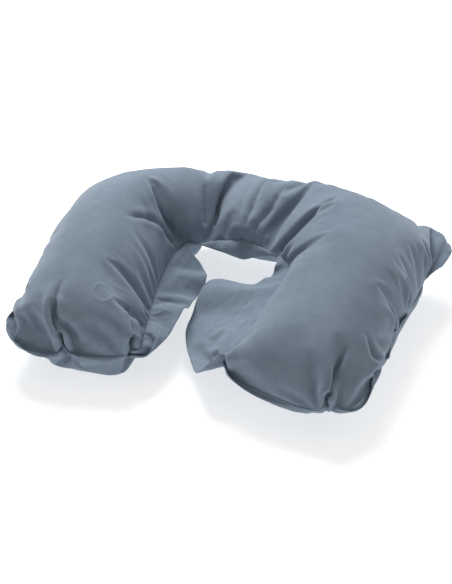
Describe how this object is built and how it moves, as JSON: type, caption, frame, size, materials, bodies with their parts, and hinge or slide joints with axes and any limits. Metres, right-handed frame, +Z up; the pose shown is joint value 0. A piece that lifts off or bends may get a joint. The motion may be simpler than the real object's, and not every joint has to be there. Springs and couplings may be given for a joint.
{
  "type": "inflatable neck pillow",
  "caption": "Inflatable U-shaped neck pillow of flocked film with a welded flange, a slit neck web with a hole, and a sunken push-in air valve under one arm.",
  "frame": {"origin": "on the ground, mid-width and mid-depth of the blown-up pillow", "axes": "+Z up, +X to the pillow's right, the arms point to -Y and the back of the neck is at +Y"},
  "size_m": [0.4, 0.344, 0.1099],
  "materials": {
    "flocked_film": "short velvety flock on thin film",
    "valve_film": "soft matt film",
    "valve_plastic": "soft matt"
  },
  "bodies": {
    "bladder": {"top_panel": "flocked_film", "bottom_panel": "flocked_film", "outer_rim": "flocked_film", "neck_web_back": "flocked_film", "valve_base": "valve_film", "valve_bellows": "valve_film"},
    "left_wing": {"neck_web_left": "flocked_film"},
    "right_wing": {"neck_web_right": "flocked_film"},
    "stem": {"valve_stem": "valve_plastic", "cap_strap": "valve_plastic"},
    "cap": {"valve_cap": "valve_plastic"},
    "flap": {"check_flap": "valve_film"}
  },
  "joints": [
    {"name": "left_wing_fold", "type": "hinge", "parent": "bladder", "child": "left_wing", "pos_m": [-0.04118, -0.06, 0.036], "axis": [-0.1822, 0.9833, 0], "range_deg": [-30, 35], "stiffness_Nm_per_rad": 0.05},
    {"name": "right_wing_fold", "type": "hinge", "parent": "bladder", "child": "right_wing", "pos_m": [0.04118, -0.06, 0.036], "axis": [-0.1822, -0.9833, 0], "range_deg": [-30, 35], "stiffness_Nm_per_rad": 0.05},
    {"name": "stem_pop", "type": "slide", "parent": "bladder", "child": "stem", "axis": [0, 0, -1], "range_m": [0, 0.011], "stiffness_N_per_m": 60, "deforming": ["valve_bellows"]},
    {"name": "cap_swing", "type": "hinge", "parent": "stem", "child": "cap", "pos_m": [-0.073, -0.112, 0.0003], "axis": [0, -1, 0], "range_deg": [0, 150], "stiffness_Nm_per_rad": 0.001},
    {"name": "flap_lift", "type": "hinge", "parent": "stem", "child": "flap", "pos_m": [-0.0761, -0.112, 0.0163], "axis": [0, 1, 0], "range_deg": [0, 55], "stiffness_Nm_per_rad": 0.0002}
  ]
}
